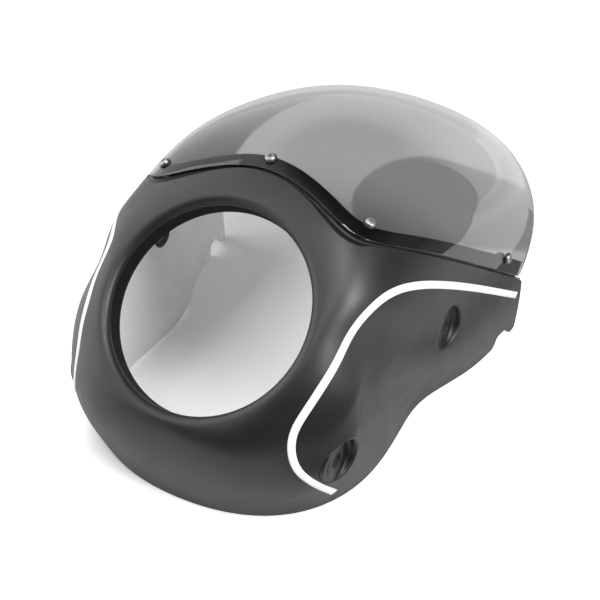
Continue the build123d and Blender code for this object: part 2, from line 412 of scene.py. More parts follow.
def rounded(corners: Sequence[tuple[float, float]], radii: Sequence[float], step: float) -> Array:
    """Polyline with rounded corners, sampled evenly.

    Args:
        corners: Corner points, first and last included.
        radii: Radius at each inner corner.
        step: Largest distance between samples.

    Returns:
        Rows of two.
    """
    points = np.array(corners, float)
    path = [points[0]]
    for i, radius in zip(range(1, len(points) - 1), radii):
        before, after = unit(points[i - 1] - points[i]), unit(points[i + 1] - points[i])
        half = math.acos(float(np.clip(before @ after, -1.0, 1.0))) / 2.0
        centre = points[i] + unit(before + after) * radius / math.sin(half)
        first = points[i] + before * radius / math.tan(half) - centre
        last = points[i] + after * radius / math.tan(half) - centre
        sweep = math.pi - 2.0 * half
        for share in np.linspace(0.0, 1.0, max(4, int(sweep * radius / step) + 2)):
            mix = (first * math.sin((1.0 - share) * sweep) + last * math.sin(share * sweep)) / math.sin(sweep)
            path.append(centre + mix)
    path.append(points[-1])
    path = np.array(path)
    run = np.concatenate([[0.0], np.cumsum(np.hypot(*np.diff(path, axis=0).T))])
    where = np.linspace(0.0, run[-1], int(run[-1] / step) + 2)
    return np.stack([np.interp(where, run, path[:, 0]), np.interp(where, run, path[:, 1])], -1)


class Draft:
    """Points and faces gathered for one mesh, as mounted; the left half is a mirror image."""

    SEAM_HALF = 1e-7
    WELD = 2e-6

    def __init__(self) -> None:
        """Start empty."""
        self.points: list[Array] = []
        self.faces: list[tuple[int, ...]] = []
        self.marks: list[int] = []
        self.count = 0

    def put(self, points: Array) -> Array:
        """Add points.

        Args:
            points: Any array with a last axis of three.

        Returns:
            The points' numbers, in the same arrangement.
        """
        flat = points.reshape(-1, 3)
        ids = np.arange(self.count, self.count + len(flat)).reshape(points.shape[:-1])
        self.points.append(flat)
        self.count += len(flat)
        return ids

    def grid(self, ids: Array, mark: int, flip: bool, keep: Array | None = None) -> None:
        """Add the quads of a grid.

        Args:
            ids: Point numbers in rows and columns.
            mark: Material place of the faces.
            flip: Whether the faces look along columns crossed with rows, instead of the other way.
            keep: Which quads are added; all of them if left out.
        """
        quads = np.stack([ids[:-1, :-1], ids[1:, :-1], ids[1:, 1:], ids[:-1, 1:]], -1)
        quads = quads.reshape(-1, 4) if keep is None else quads[keep]
        quads = quads[:, ::-1] if flip else quads
        self.faces += [tuple(q) for q in quads.tolist()]
        self.marks += [mark] * len(quads)

    def build(
        self, name: str, pose: Pose, finishes: Sequence[bpy.types.Material], mirror: bool = True
    ) -> bpy.types.Object:
        """Make the object.

        Args:
            name: Name of the piece.
            pose: Where the piece goes.
            finishes: Materials, in the order of the marks.
            mirror: Whether the left half is added.

        Returns:
            The new object, riding on the root body.
        """
        points = pose.row(np.concatenate(self.points))
        points[:, 2] = np.maximum(points[:, 2], 0.0)
        faces, marks = list(self.faces), list(self.marks)
        if mirror:
            left = points * np.array([-1.0, 1.0, 1.0])
            faces += [tuple(i + self.count for i in reversed(f)) for f in self.faces]
            marks += self.marks
            points = np.concatenate([points, left])
        mesh = bpy.data.meshes.new(name)
        mesh.from_pydata(points.tolist(), [], faces)
        for finish in finishes:
            mesh.materials.append(finish)
        mesh.polygons.foreach_set("material_index", np.array(marks, np.int32))
        shape = bmesh.new()
        shape.from_mesh(mesh)
        seam = [v for v in shape.verts if abs(v.co.x) < self.SEAM_HALF]
        bmesh.ops.remove_doubles(shape, verts=seam, dist=self.WELD)
        shape.to_mesh(mesh)
        shape.free()
        mesh.shade_smooth()
        piece = bpy.data.objects.new(name, mesh)
        bpy.context.scene.collection.objects.link(piece)
        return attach(piece, "root")


class Maths(Enum):
    """Sums that a node works out."""

    ABSOLUTE = "ABSOLUTE"
    ADD = "ADD"
    DIVIDE = "DIVIDE"
    MAXIMUM = "MAXIMUM"
    MULTIPLY = "MULTIPLY"
    POWER = "POWER"
    SUBTRACT = "SUBTRACT"


class Wiring:
    """Nodes of a material or of the surroundings, and the links between them."""

    def __init__(self, tree: bpy.types.NodeTree) -> None:
        """Take up a tree of nodes.

        Args:
            tree: The tree to add to.
        """
        self.nodes = tree.nodes
        self.links = tree.links

    def calculate(self, kind: Maths, first: Socket | float, second: Socket | float = 0.0) -> Socket:
        """Work out one sum.

        Args:
            kind: Kind of sum.
            first: Socket or plain number.
            second: Socket or plain number.

        Returns:
            The result.
        """
        node = self.nodes.new("ShaderNodeMath")
        node.operation = kind.value
        for place, value in enumerate((first, second)):
            if isinstance(value, Socket):
                self.links.new(value, node.inputs[place])
            else:
                node.inputs[place].default_value = value
        return node.outputs[0]

    def ramp(
        self, source: Socket, start: tuple[float, float], stop: tuple[float, float], soft: bool = False
    ) -> Socket:
        """Rise or fall between two places, flat outside them.

        Args:
            source: Where along the ramp.
            start: Place and value of the ramp's start.
            stop: Place and value of its end.
            soft: Whether the ramp's ends are eased.

        Returns:
            The value.
        """
        node = self.nodes.new("ShaderNodeMapRange")
        node.interpolation_type = "SMOOTHSTEP" if soft else "LINEAR"
        for name, place in (("From Min", start[0]), ("From Max", stop[0])):
            node.inputs[name].default_value = place
        for name, value in (("To Min", start[1]), ("To Max", stop[1])):
            node.inputs[name].default_value = value
        self.links.new(source, node.inputs["Value"])
        return node.outputs["Result"]

    def choose(self, share: Socket, plain: float, other: Socket) -> Socket:
        """Go from a plain value to another one.

        Args:
            share: 0 for the plain value, 1 for the other.
            plain: The plain value.
            other: The other value.

        Returns:
            The value.
        """
        node = self.nodes.new("ShaderNodeMix")
        node.inputs[2].default_value = plain
        self.links.new(share, node.inputs[0])
        self.links.new(other, node.inputs[3])
        return node.outputs[0]

    def rays(self) -> bpy.types.NodeOutputs:
        """Sockets that tell the kinds of rays apart."""
        return self.nodes.new("ShaderNodeLightPath").outputs

    def shown(self) -> Socket:
        """Tell rays that show the background itself, or in a reflection, from those that light.

        Returns:
            One for rays that show it, else zero.
        """
        rays = self.rays()
        direct = self.calculate(Maths.MAXIMUM, rays["Is Camera Ray"], rays["Is Glossy Ray"])
        return self.calculate(Maths.MAXIMUM, direct, rays["Is Transmission Ray"])


class Recipe(Wiring):
    """A material put together from nodes round one shader."""

    PATTERN_MIDDLE = (0.3, 0.7)

    def __init__(self, name: str) -> None:
        """Start a material.

        Args:
            name: Name of the finish.
        """
        self.material = bpy.data.materials.new(name)
        self.material.use_nodes = True
        super().__init__(self.material.node_tree)
        self.shader = self.nodes["Principled BSDF"]
        self.output = self.nodes["Material Output"]
        self.place = self.nodes.new("ShaderNodeTexCoord").outputs["Object"]

    def plain(self, **values: float | tuple[float, ...]) -> None:
        """Set the shader's own sockets, with underscores for spaces in their names."""
        for name, value in values.items():
            self.shader.inputs[name.replace("_", " ")].default_value = value

    def noise(self, scale: float, detail: float = 3.0, rough: float = 0.5) -> Socket:
        """Cloudy pattern fixed to the object.

        Args:
            scale: Patches per metre, roughly.
            detail: Levels of finer cloud.
            rough: Strength of the finer levels.

        Returns:
            The pattern from 0 to 1.
        """
        node = self.nodes.new("ShaderNodeTexNoise")
        node.inputs["Scale"].default_value = scale
        node.inputs["Detail"].default_value = detail
        node.inputs["Roughness"].default_value = rough
        self.links.new(self.place, node.inputs["Vector"])
        return node.outputs["Fac"]

    def spread(self, source: Socket, low: float, high: float) -> Socket:
        """Turn the middle of a pattern into a range of values.

        Args:
            source: Pattern from 0 to 1.
            low: Value for the pattern's dark parts.
            high: Value for its bright parts.

        Returns:
            The values.
        """
        dark, bright = self.PATTERN_MIDDLE
        return self.ramp(source, (dark, low), (bright, high))

    def tint(self, source: Socket, dark: Sequence[float], light: Sequence[float]) -> None:
        """Colour the surface between two shades by a pattern.

        Args:
            source: Pattern from 0 to 1.
            dark: Red, green and blue in its dark parts.
            light: Red, green and blue in its bright parts.
        """
        node = self.nodes.new("ShaderNodeValToRGB")
        for stop, place, shade in zip(node.color_ramp.elements, self.PATTERN_MIDDLE, (dark, light)):
            stop.position = place
            stop.color = (*shade, 1.0)
        self.links.new(source, node.inputs["Fac"])
        self.links.new(node.outputs["Color"], self.shader.inputs["Base Color"])

    def drive(self, name: str, source: Socket) -> None:
        """Let a pattern set one of the shader's sockets."""
        self.links.new(source, self.shader.inputs[name])

    def bump(self, height: Socket, strength: float, distance: float) -> None:
        """Roughen the surface's shading.

        Args:
            height: Pattern of heights.
            strength: Share of the effect.
            distance: Height of the pattern, in metres.
        """
        node = self.nodes.new("ShaderNodeBump")
        node.inputs["Strength"].default_value = strength
        node.inputs["Distance"].default_value = distance
        self.links.new(height, node.inputs["Height"])
        self.links.new(node.outputs["Normal"], self.shader.inputs["Normal"])


@dataclass(frozen=True)
class MouldedFinish:
    """Opaque finish with a cloudy tint, uneven sheen and a fine grain."""

    name: str
    dark: Colour
    light: Colour
    sheen: tuple[float, float] = (0.42, 0.54)
    cloud: float = 18.0
    grain: float = 1500.0
    grain_height: float = 0.00006
    metallic: float = 0.0
    specular: float = 0.5
    bump: float = 0.35

    def material(self) -> bpy.types.Material:
        """Make the material.

        Returns:
            The new material.
        """
        recipe = Recipe(self.name)
        recipe.plain(Metallic=self.metallic, Specular_IOR_Level=self.specular)
        cloud = recipe.noise(self.cloud, 5.0, 0.6)
        recipe.tint(cloud, self.dark, self.light)
        recipe.drive("Roughness", recipe.spread(recipe.noise(self.cloud * 3.0, 4.0), *self.sheen))
        recipe.bump(recipe.noise(self.grain, 2.0), self.bump, self.grain_height)
        return recipe.material


@dataclass(frozen=True)
class SmokedFinish:
    """Clear sheet with a smoke tint, which lets tinted light through its shadow."""

    name: str = "smoked_sheet"
    tint: Colour = (0.272, 0.27, 0.268)
    shade: float = 0.27
    ior: float = 1.49
    cloud: float = 30.0
    sheen: tuple[float, float] = (0.02, 0.05)

    def material(self) -> bpy.types.Material:
        """Make the material.

        Returns:
            The new material.
        """
        recipe = Recipe(self.name)
        recipe.plain(
            Base_Color=(*self.tint, 1.0), Transmission_Weight=1.0, IOR=self.ior, Metallic=0.0
        )
        recipe.drive("Roughness", recipe.spread(recipe.noise(self.cloud, 3.0), *self.sheen))
        clear = recipe.nodes.new("ShaderNodeBsdfTransparent")
        clear.inputs["Color"].default_value = (self.shade, self.shade, self.shade, 1.0)
        choice = recipe.nodes.new("ShaderNodeMixShader")
        recipe.links.new(recipe.rays()["Is Shadow Ray"], choice.inputs[0])
        recipe.links.new(recipe.shader.outputs[0], choice.inputs[1])
        recipe.links.new(clear.outputs[0], choice.inputs[2])
        recipe.links.new(choice.outputs[0], recipe.output.inputs["Surface"])
        return recipe.material


class Finish(Enum):
    """The object's finishes."""

    SATIN_BLACK = MouldedFinish(
        "satin_black", (0.007, 0.007, 0.0072), (0.011, 0.011, 0.0113), (0.39, 0.45)
    )
    MATT_BLACK = MouldedFinish(
        "matt_black", (0.005, 0.005, 0.005), (0.008, 0.008, 0.008), (0.64, 0.74), specular=0.12
    )
    PALE_INSIDE = MouldedFinish(
        "pale_inside", (0.82, 0.82, 0.81), (0.88, 0.88, 0.87), (0.5, 0.7), 40.0, 700.0, 0.0002
    )
    SMOKED = SmokedFinish()
    STEEL = MouldedFinish(
        "plain_steel", (0.26, 0.26, 0.265), (0.36, 0.36, 0.365), (0.38, 0.5), 300.0, 4000.0, 0.00002, 1.0
    )
    NYLON = MouldedFinish("black_nylon", (0.012, 0.012, 0.012), (0.02, 0.02, 0.02), (0.45, 0.6), 200.0)
    RUBBER = MouldedFinish(
        "black_rubber", (0.016, 0.016, 0.016), (0.026, 0.026, 0.026), (0.6, 0.75), 150.0, 2500.0
    )
    WHITE_FILM = MouldedFinish(
        "white_film", (0.86, 0.86, 0.86), (0.91, 0.91, 0.91), (0.32, 0.42), 60.0, 1500.0, 0.00002
    )

    def material(self) -> bpy.types.Material:
        """The finish's material, made once."""
        return bpy.data.materials.get(self.value.name) or self.value.material()


class Side(IntEnum):
    """Material places of the shell's faces."""

    OUTSIDE = 0
    INSIDE = 1
    COLLAR = 2


class Cheek(Enum):
    """The two sides of the cowl, as seen in the front view."""

    RIGHT = "right"
    LEFT = "left"


@dataclass
class Pocket:
    """Sunk bolt seat on the right cheek, with its floor square to X."""

    y: float
    z: float
    floor: float
    radius: float = 20.0
    wall: float = 3.5
    hole_r: float = 7.2
    rim: float = 2.4
    foot: float = 3.2
    margin: float = 3.6
    soft: float = 3.0
    lean: float = 0.02
    steepest: float = 0.4
    blend: tuple[float, ...] = (0.3, 0.6, 0.85, 1.0)
    arc_rows: int = 7
    hole_edge: float = 0.5
    hole_wall: float = 1.3

    def near(self, points: Array, extra: float) -> Array:
        """Which points of the right half lie within the pocket and some more round it."""
        away = np.hypot(points[..., 1] - self.y, points[..., 2] - self.z)
        return (away < self.radius + extra) & (points[..., 0] > 0.0)

    def level(self, skin: Skin, seen: Array, depth: float) -> Array:
        """Find the skin, moved in by a depth, at places in the side view.

        Args:
            skin: The cowl's skin.
            seen: Rows of Y and Z.
            depth: How far the skin is moved in.

        Returns:
            How far out it lies at each place.
        """
        turn, back = skin.from_side(seen)
        facing = np.maximum(skin.normal(turn, back)[:, 0], self.steepest)
        return skin.at(turn, back)[:, 0] - depth / facing

    def fill(self, draft: Draft, skin: Skin, loop: Array, edge: Array, depth: float, mark: int) -> None:
        """Fill a hole in a skin with the sunk seat.

        Args:
            draft: Mesh to add to.
            skin: The cowl's skin.
            loop: Point numbers round the hole's edge.
            edge: Points of the edge.
            depth: 0 for the outside, or the shell's wall for the inside.
            mark: Material place of the faces.
        """
        inside = depth > 0.0
        size = self.radius + (self.wall if inside else 0.0)
        floor = self.floor - (self.wall if inside else 0.0)
        seen = edge[:, 1:]
        middle = np.array([self.y, self.z])
        away = seen - middle
        ray = away / np.hypot(*away.T)[:, None]

        def sunk(radius: float) -> Array:
            """Find the floor's plane, run softly into the skin where the skin is lower.

            Args:
                radius: Distance from the hole's middle.

            Returns:
                How far out the floor lies on each ray.
            """
            plane = floor - self.lean * radius * ray[:, 0]
            gap = plane - self.level(skin, middle + ray * radius, depth)
            return plane - (gap + np.sqrt(gap**2 + self.soft**2)) / 2.0

        over = self.level(skin, middle + ray * (size + self.rim), depth)
        base = sunk(size - self.foot)
        high = np.maximum(over - base, 0.0)
        rim, foot = np.minimum(self.rim, high / 2.0), np.minimum(self.foot, high / 2.0)
        rows: list[tuple[Array, Array]] = []
        for share in self.blend:
            place = seen + (middle + ray * (size + self.margin) - seen) * share
            rows.append((place, self.level(skin, place, depth)))
        for angle in np.linspace(0.0, math.pi / 2.0, self.arc_rows):
            out = size + self.rim * (1.0 - math.sin(angle))
            rows.append((middle + ray * out, over - rim * (1.0 - math.cos(angle))))
        for angle in np.linspace(0.0, math.pi / 2.0, self.arc_rows):
            out = size - self.foot * (1.0 - math.cos(angle))
            rows.append((middle + ray * out, base + foot * (1.0 - math.sin(angle))))
        for radius in np.linspace(size - self.foot, self.hole_r + self.hole_edge, self.arc_rows)[1:]:
            rows.append((middle + ray * radius, sunk(float(radius))))
        inward = 1.0 if inside else -1.0
        for drop in (self.hole_edge, self.hole_wall):
            rows.append((middle + ray * self.hole_r, rows[-1][1] + inward * drop))
        grid = np.array([np.concatenate([x[:, None], place], 1) for place, x in rows])
        ids = np.concatenate([loop[None], draft.put(grid)])
        draft.grid(np.concatenate([ids, ids[:, :1]], 1), mark, not inside)


@dataclass
class CowlShell:
    """The moulded shell: outer and inner skins, rolled lip, sunk flange and bolt pockets."""

    skin: Skin
    pose: Pose
    foot: FootLine
    wall: float = 3.5
    edge: float = 0.9
    joggle: float = 2.2
    valley_joggle: float = 8.0
    joggle_depth: float = 3.1
    joggle_fall: float = 0.75
    valley_x: float = 85.0
    valley_spread: float = 38.0
    screen_gap: float = 0.6
    bore_r: float = 90.0
    collar_rear: float = 25.0
    collar_wall: float = 3.5
    lip_roll: float = 7.0
    lip_rows: int = 20
    lip_stops: tuple[float, ...] = (0.0, 44.0, 66.0, 78.0, 180.0)
    seat_depth: float = 3.3
    seat_lifts: tuple[float, ...] = (-3.4, -2.0, -0.4, 4.0, 9.0)
    back_lifts: tuple[float, ...] = (9.0, 4.0, 0.0)
    flange_reach: float = 15.0
    flange_round: float = 0.6
    flange_rear: float = 292.0
    web: float = 4.0
    web_round: float = 0.8
    web_overlap: float = 0.3
    notch_start: float = 258.0
    notch_length: float = 31.0
    notch_height: float = 12.5
    notch_run: float = 5.0
    notch_lead: float = 14.0
    trim_round: float = 4.0
    trim_step: float = 1.6
    border_columns: int = 200
    rows: int = 96
    row_pace: float = 1.2
    inner_rows: int = 56
    inner_start: float = 0.13
    inner_edge: float = 0.3
    edge_rows: int = 12
    inner_edge_rows: int = 4
    step_in: float = 0.01
    pocket_room: float = 4.0
    inner_room: float = 0.5
    pockets: tuple[Pocket, ...] = (Pocket(150.0, 69.5, 154.77), Pocket(70.0, -77.0, 130.39))

    def foot_edge(self, x: Array) -> Array:
        """Width of the joggle that runs down under the screen, widest in the valley."""
        near = np.exp(-(((x - self.valley_x) / self.valley_spread) ** 2))
        return self.joggle + (self.valley_joggle - self.joggle) * near

    def border(self) -> tuple[Array, Array, Array, Array]:
        """Edge of the outer skin, from the top middle round to the bottom middle.

        Returns:
            Turn and back of the edge's places, the lip's turn that each joins, and the way from there
            to the screen's edge, which is 0 away from the screen.
        """
        rear, low = self.pose.rear - self.edge, self.edge
        line = self.foot.trace(LINE_SAMPLES, 0.0)
        line[:, 1] -= self.screen_gap + self.foot_edge(line[:, 0])
        along = self.pose.side(self.skin.at(*self.skin.from_front(line)))[:, 0]
        line = cut_line(line, along, rear, self.border_columns)
        foot_turn, foot_back = self.skin.from_front(line)
        top = self.pose.side(self.skin.at(foot_turn[-1:], foot_back[-1:]))[0]
        end = self.notch_start + self.notch_length
        step = self.edge
        corners = [
            (rear, top[1]),
            (rear, low),
            (end + step, low),
            (end - self.notch_run + step, self.notch_height + low),
            (self.notch_start + self.notch_run - step, self.notch_height + low),
            (self.notch_start - step, low),
            (self.notch_start - self.notch_lead, low),
        ]
        tail = rounded(corners, [self.trim_round] * (len(corners) - 2), self.trim_step)[1:]
        tail_turn, tail_back = self.skin.find(self.pose.side, tail, foot_turn[-1], foot_back[-1])
        floor_turn = np.linspace(tail_turn[-1], 1.0, self.border_columns)[1:]
        floor_back = self.skin.reach_back(lambda p: self.pose.side(p)[:, 1] - low, floor_turn)
        turn = np.concatenate([foot_turn, tail_turn, floor_turn])
        back = np.concatenate([foot_back, tail_back, floor_back])
        points = self.skin.at(turn, back)
        run = np.concatenate([[0.0], np.cumsum(np.linalg.norm(np.diff(points, axis=0), axis=1))])
        valley = int(np.argmin(line[:, 1]))
        stops = [0, valley, len(line) - 1, len(line) + len(tail) - 1, len(turn) - 1]
        line[:, 1] += self.foot_edge(line[:, 0])
        reach = np.zeros_like(points)
        reach[: len(line)] = self.skin.at(*self.skin.from_front(line)) - points[: len(line)]
        return turn, back, np.interp(run, run[stops], np.array(self.lip_stops) / 180.0), reach

    def sheet(self, draft: Draft) -> None:
        """Outer and inner skins with their rounded edge, the pockets and the lip.

        Args:
            draft: Mesh to add to.
        """
        turn, back, lip_turn, reach = self.border()
        last: dict[int, Array] = {}
        for mark, count, depth in ((Side.OUTSIDE, self.rows, 0.0), (Side.INSIDE, self.inner_rows, self.wall)):
            inside = mark == Side.INSIDE
            start = self.inner_start if inside else 0.0
            share = np.linspace(0.0, 1.0, count)[:, None]
            turns = lip_turn + (turn - lip_turn) * share**self.row_pace
            backs = start + (back - start) * share
            points = self.skin.under(turns, backs, np.full(turns.shape, depth))
            ids = draft.put(points)
            keep = np.ones((count - 1, len(turn) - 1), bool)
            for pocket in self.pockets:
                room = pocket.margin + self.pocket_room + (depth + self.inner_room if inside else 0.0)
                rows, columns = np.where(pocket.near(points, room))
                top, bottom = rows.min() - 1, rows.max() + 1
                first, final = columns.min() - 1, columns.max() + 1
                keep[top:bottom, first:final] = False
                loop = [(top, j) for j in range(first, final)]
                loop += [(i, final) for i in range(top, bottom)]
                loop += [(bottom, j) for j in range(final, first, -1)]
                loop += [(i, first) for i in range(bottom, top, -1)]
                i, j = np.array(loop).T
                pocket.fill(draft, self.skin, ids[i, j], points[i, j], depth, mark)
            draft.grid(ids, mark, not inside, keep)
            last[mark] = ids[-1]
            if not inside:
                self.lip(draft, ids[0], lip_turn)
        self.round_edge(draft, turn, back, lip_turn, reach, last)

    def round_edge(
        self, draft: Draft, turn: Array, back: Array, lip_turn: Array, reach: Array, last: dict[int, Array]
    ) -> None:
        """Join the skins along their border with a rounded edge.

        Args:
            draft: Mesh to add to.
            turn: Border's way round.
            back: Border's way back.
            lip_turn: Lip's turn that each border place joins.
            reach: Way to the screen's edge that the joggle takes, or 0 for a plain rounded edge.
            last: Last row of each skin.
        """
        points, normal, outward = self.skin.edge_frame(
            turn, back, turn + (lip_turn - turn) * self.step_in, back * (1.0 - self.step_in)
        )
        plain = ~reach.any(axis=1, keepdims=True)
        reach = np.where(plain, self.edge * outward, reach)
        rows = []
        for share in np.linspace(0.0, 1.0, self.edge_rows)[1:]:
            angle = share * math.pi / 2.0
            out = np.where(plain, math.sin(angle), share)
            down = self.joggle_depth * ease(min(1.0, share / self.joggle_fall))
            down = np.where(plain, self.edge * (1.0 - math.cos(angle)), down)
            rows.append(points + reach * out - down * normal)
        middle = len(rows)
        for angle in np.linspace(0.0, math.pi / 2.0, self.inner_edge_rows)[:-1]:
            deep = self.wall - self.inner_edge * (1.0 - math.sin(angle))
            inset = self.inner_edge * (1.0 - math.cos(angle))
            rows.append(points + reach - inset * outward - normal * deep)
        ids = draft.put(np.array(rows))
        draft.grid(np.concatenate([last[Side.OUTSIDE][None], ids[:middle]]), Side.OUTSIDE, True)
        draft.grid(np.concatenate([ids[middle - 1 :], last[Side.INSIDE][None]]), Side.INSIDE, True)

    def flange(self, draft: Draft) -> None:
        """Sunk seat under the screen and the web that joins it to the skin.

        Args:
            draft: Mesh to add to.
        """
        low, high = self.seat_depth, self.seat_depth + self.wall
        reach, web, soft = self.flange_reach, -self.screen_gap - self.web, self.flange_round
        section = [(lift, low) for lift in self.seat_lifts]
        section += [(reach - soft, low), (reach, low + soft), (reach, high - soft), (reach - soft, high)]
        section += [(lift, high) for lift in self.back_lifts]
        section += [(web + self.web_round, high), (web, high - self.web_round)]
        section += [(web, low - self.web_overlap)]
        line = self.foot.trace(LINE_SAMPLES, 0.0)
        along = self.pose.side(self.skin.at(*self.skin.from_front(line)))[:, 0]
        line = line[: int(np.argmax(along > self.flange_rear))]
        rows = []
        for lift, depth in section:
            turn, back = self.skin.from_front(line + np.array([0.0, lift]))
            rows.append(self.skin.under(turn, back, np.full(len(line), depth)))
        points = np.array(rows)
        ids = draft.put(points)
        draft.grid(np.concatenate([ids, ids[:1]]), Side.OUTSIDE, True)
        cap = draft.put(points[:, -1])
        draft.faces.append(tuple(int(i) for i in cap))
        draft.marks.append(Side.OUTSIDE)

    def lip(self, draft: Draft, first: Array, turn: Array) -> None:
        """Rolled lip and collar, turned about the lamp axis.

        Args:
            draft: Mesh to add to.
            first: Point numbers of the outer skin's first row.
            turn: Way round of each of those points.
        """
        lip, bore = self.skin.lip_r, self.bore_r
        profile: list[tuple[float, float]] = []
        for angle in np.radians(np.linspace(0.0, 90.0, self.lip_rows)[1:]):
            profile.append((lip - (lip - bore) * math.sin(angle), self.lip_roll * (1.0 - math.cos(angle))))
        split = len(profile)
        end, outer = self.collar_rear, bore + self.collar_wall
        # Bore, then the rear rim with its rounded edges, then the outside up to the lip's back
        profile += [(bore, 9.0), (bore, 13.0), (bore, 19.0), (bore, end - 0.8), (bore + 0.3, end - 0.2)]
        profile += [(bore + 0.9, end), (outer - 0.9, end), (outer - 0.2, end - 0.3), (outer, end - 0.9)]
        profile += [(outer, 14.0), (outer, 9.6), (outer + 0.6, 8.5), (outer + 1.6, 8.0), (lip, 7.6)]
        sine, cosine, flat = np.sin(turn * math.pi), np.cos(turn * math.pi), np.ones(len(turn))
        rows = [np.stack([r * sine, y * flat, r * cosine], -1) for r, y in profile]
        ids = np.concatenate([first[None], draft.put(np.array(rows))])
        draft.grid(ids[split::-1], Side.OUTSIDE, True)
        draft.grid(ids[:split - 1:-1], Side.COLLAR, True)

    def build(self) -> bpy.types.Object:
        """Make the shell, in place of its plain node.

        Returns:
            The shell.
        """
        draft = Draft()
        self.sheet(draft)
        self.flange(draft)
        finishes = (Finish.SATIN_BLACK, Finish.PALE_INSIDE, Finish.MATT_BLACK)
        piece = draft.build("shell_skin", self.pose, [finish.material() for finish in finishes])
        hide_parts("cowl_shell")
        return piece


@dataclass
class Windscreen:
    """The smoked sheet that lies on the sunk flange."""

    skin: Skin
    pose: Pose
    foot: FootLine
    wall: float = 3.0
    edge: float = 0.6
    crown_depth: float = 240.0
    side_depth: float = 265.0
    crown_half: float = 136.0
    corner: float = 3.0
    columns: int = 230
    rows: int = 84
    inner_rows: int = 44
    edge_rows: int = 4
    valley_turn: float = 36.0
    settle: int = 25

    def rear_depth(self, x: Array) -> Array:
        """Depth of the rear edge across the plan view."""
        share = np.clip(np.abs(x) / self.crown_half, 0.0, 1.0)
        return self.crown_depth + (self.side_depth - self.crown_depth) * ease(share) - self.edge

    def rear_back(self, turn: Array) -> Array:
        """Find the rear edge on the skin.

        Args:
            turn: Way round of each place.

        Returns:
            The places' way back.
        """
        back = np.full(len(turn), math.sqrt(self.side_depth / self.skin.rear))
        for _ in range(self.settle):
            back = np.sqrt(self.rear_depth(self.skin.at(turn, back)[:, 0]) / self.skin.rear)
        return back

    def build(self) -> bpy.types.Object:
        """Make the screen, in place of its plain node.

        Returns:
            The screen.
        """
        line = self.foot.trace(LINE_SAMPLES, self.edge)
        depth = self.skin.at(*self.skin.from_front(line))[:, 1]
        line = cut_line(line, depth, self.side_depth - self.edge - self.corner, self.columns)
        turn, back = self.skin.from_front(line)
        valley = int(np.argmin(line[:, 1]))
        end_turn = turn[-1] - self.corner / (math.pi * np.hypot(*line[-1]))
        stops = [0, valley, self.columns - 1]
        far_turn = np.interp(np.arange(self.columns), stops, [0.0, self.valley_turn / 180.0, end_turn])
        far_back = self.rear_back(far_turn)
        draft = Draft()
        last_rows = {}
        for count, deep in ((self.rows, 0.0), (self.inner_rows, self.wall)):
            share = np.linspace(0.0, 1.0, count)[:, None]
            turns = turn + (far_turn - turn) * share
            backs = back + (far_back - back) * share
            ids = draft.put(self.skin.under(turns, backs, np.full(turns.shape, deep)))
            draft.grid(ids, 0, deep == 0.0)
            last_rows[deep] = (ids, turns, backs)
        outer, turns, backs = last_rows[0.0]
        inner = last_rows[self.wall][0]
        for index, step in ((0, 1), (-1, -2)):
            edge = (turns[index], backs[index], turns[step], backs[step], outer[index], inner[index])
            self.round_edge(draft, *edge, index == -1)
        coarse = np.linspace(0.0, 1.0, self.inner_rows)
        side = np.interp(coarse, np.linspace(0.0, 1.0, self.rows), np.arange(self.rows)).round().astype(int)
        rim = np.stack([outer[side, -1], inner[:, -1]])
        draft.grid(rim, 0, False)
        piece = draft.build("screen_sheet", self.pose, [Finish.SMOKED.material()])
        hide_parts("windscreen")
        return piece

    def round_edge(
        self,
        draft: Draft,
        turn: Array,
        back: Array,
        in_turn: Array,
        in_back: Array,
        outer: Array,
        inner: Array,
        flip: bool,
    ) -> None:
        """Round one long edge of the sheet.

        Args:
            draft: Mesh to add to.
            turn: Edge's way round.
            back: Edge's way back.
            in_turn: Way round of the next row in.
            in_back: Way back of the next row in.
            outer: Point numbers of the outer face's edge.
            inner: Point numbers of the inner face's edge.
            flip: Whether the edge is the rear one.
        """
        points, normal, outward = self.skin.edge_frame(turn, back, in_turn, in_back)
        rows = []
        for angle in np.linspace(0.0, math.pi / 2.0, self.edge_rows)[1:]:
            rows.append(points + self.edge * (outward * math.sin(angle) - normal * (1.0 - math.cos(angle))))
        for angle in np.linspace(0.0, math.pi / 2.0, self.edge_rows)[:-1]:
            deep = self.wall - self.edge * (1.0 - math.sin(angle))
            rows.append(points + self.edge * outward * math.cos(angle) - normal * deep)
        ids = draft.put(np.array(rows))
        draft.grid(np.concatenate([outer[None], ids, inner[None]]), 0, flip)


